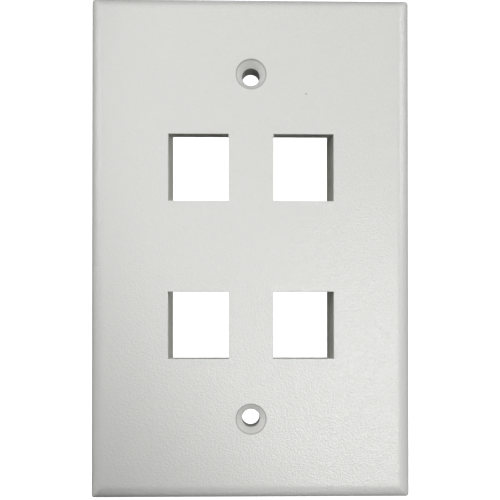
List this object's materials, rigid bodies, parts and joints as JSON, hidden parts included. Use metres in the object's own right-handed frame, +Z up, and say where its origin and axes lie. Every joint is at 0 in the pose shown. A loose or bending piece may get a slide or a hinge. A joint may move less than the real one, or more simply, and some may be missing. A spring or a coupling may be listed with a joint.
{
  "type": "keystone faceplate",
  "caption": "Shallow moulded wall plate with a mitred convex bevel, rectangular snap-in jack ports and countersunk screw holes, hollow and ribbed behind.",
  "frame": {"origin": "in the wall plane (the back edge of the rim), at the middle of the screw spacing", "axes": "+X to the right seen from the front, +Y into the wall, +Z up; the front face looks along -Y"},
  "size_m": [0.079, 0.0102, 0.1234],
  "materials": {
    "off_white_plastic": "fine satin grain"
  },
  "bodies": {
    "root": {"faceplate": "off_white_plastic"}
  },
  "joints": []
}
